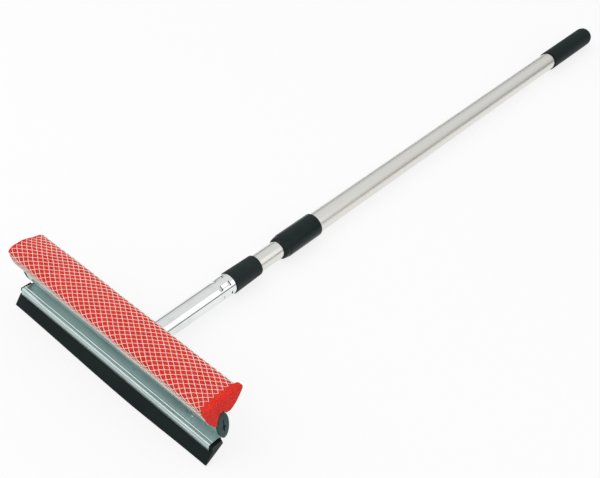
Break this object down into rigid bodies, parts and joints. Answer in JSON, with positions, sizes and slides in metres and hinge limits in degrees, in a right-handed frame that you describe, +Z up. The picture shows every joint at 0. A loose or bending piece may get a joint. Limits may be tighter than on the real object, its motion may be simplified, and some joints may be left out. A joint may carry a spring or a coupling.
{
  "type": "telescopic squeegee",
  "caption": "Window squeegee with a netted sponge and a rubber blade on a metal head, and a two-tube twist-lock telescopic pole with a hand grip.",
  "frame": {"origin": "on the floor under the middle of the box: the tool lies on its blade tip and its grip", "axes": "+Y along the pole from the head to the grip, +X along the blade, +Z up, sponge on top"},
  "size_m": [0.2552, 0.8578, 0.0705],
  "materials": {
    "satin_aluminium": "satin anodised, fine lengthwise grain",
    "chrome": "bright plated",
    "zinc_sheet": "zinc plated sheet, drawn lengthwise",
    "bright_steel": "plain bright steel",
    "black_plastic": "moulded, semi-gloss",
    "lock_plastic": "moulded, matt",
    "black_rubber": "matt with a skin sheen",
    "red_foam": "open-cell foam",
    "white_net": "knotted nylon net"
  },
  "bodies": {
    "outer_pole": {"outer_tube": "satin_aluminium", "lock_sleeve": "black_plastic", "grip": "black_plastic"},
    "lock_ring": {"expander_ring": "lock_plastic"},
    "inner_pole": {"inner_tube": "satin_aluminium", "lock_plug": "lock_plastic", "plug_pin": "bright_steel", "lock_washer": "bright_steel", "lock_screw": "bright_steel", "ferrule": "chrome", "socket_collar": "black_plastic", "head_bracket": "bright_steel", "ear_rivet_left": "bright_steel", "ear_rivet_right": "bright_steel", "pad_rivet_left": "bright_steel", "pad_rivet_right": "bright_steel", "blade_channel": "zinc_sheet", "blade_clamp": "zinc_sheet", "rubber_blade": "black_rubber", "sponge_channel": "zinc_sheet", "sponge_rod": "bright_steel", "sponge": "red_foam", "net_sleeve": "white_net", "end_cap_left": "black_plastic", "end_cap_right": "black_plastic"}
  },
  "joints": [
    {"name": "extension", "type": "slide", "parent": "outer_pole", "child": "lock_ring", "axis": [0, -1, 0], "range_m": [-0.032, 0.45]},
    {"name": "twist_lock", "type": "hinge", "parent": "lock_ring", "child": "inner_pole", "pos_m": [0, 0, 0.0132], "axis": [0, 1, 0], "range_deg": [0, 60]}
  ]
}
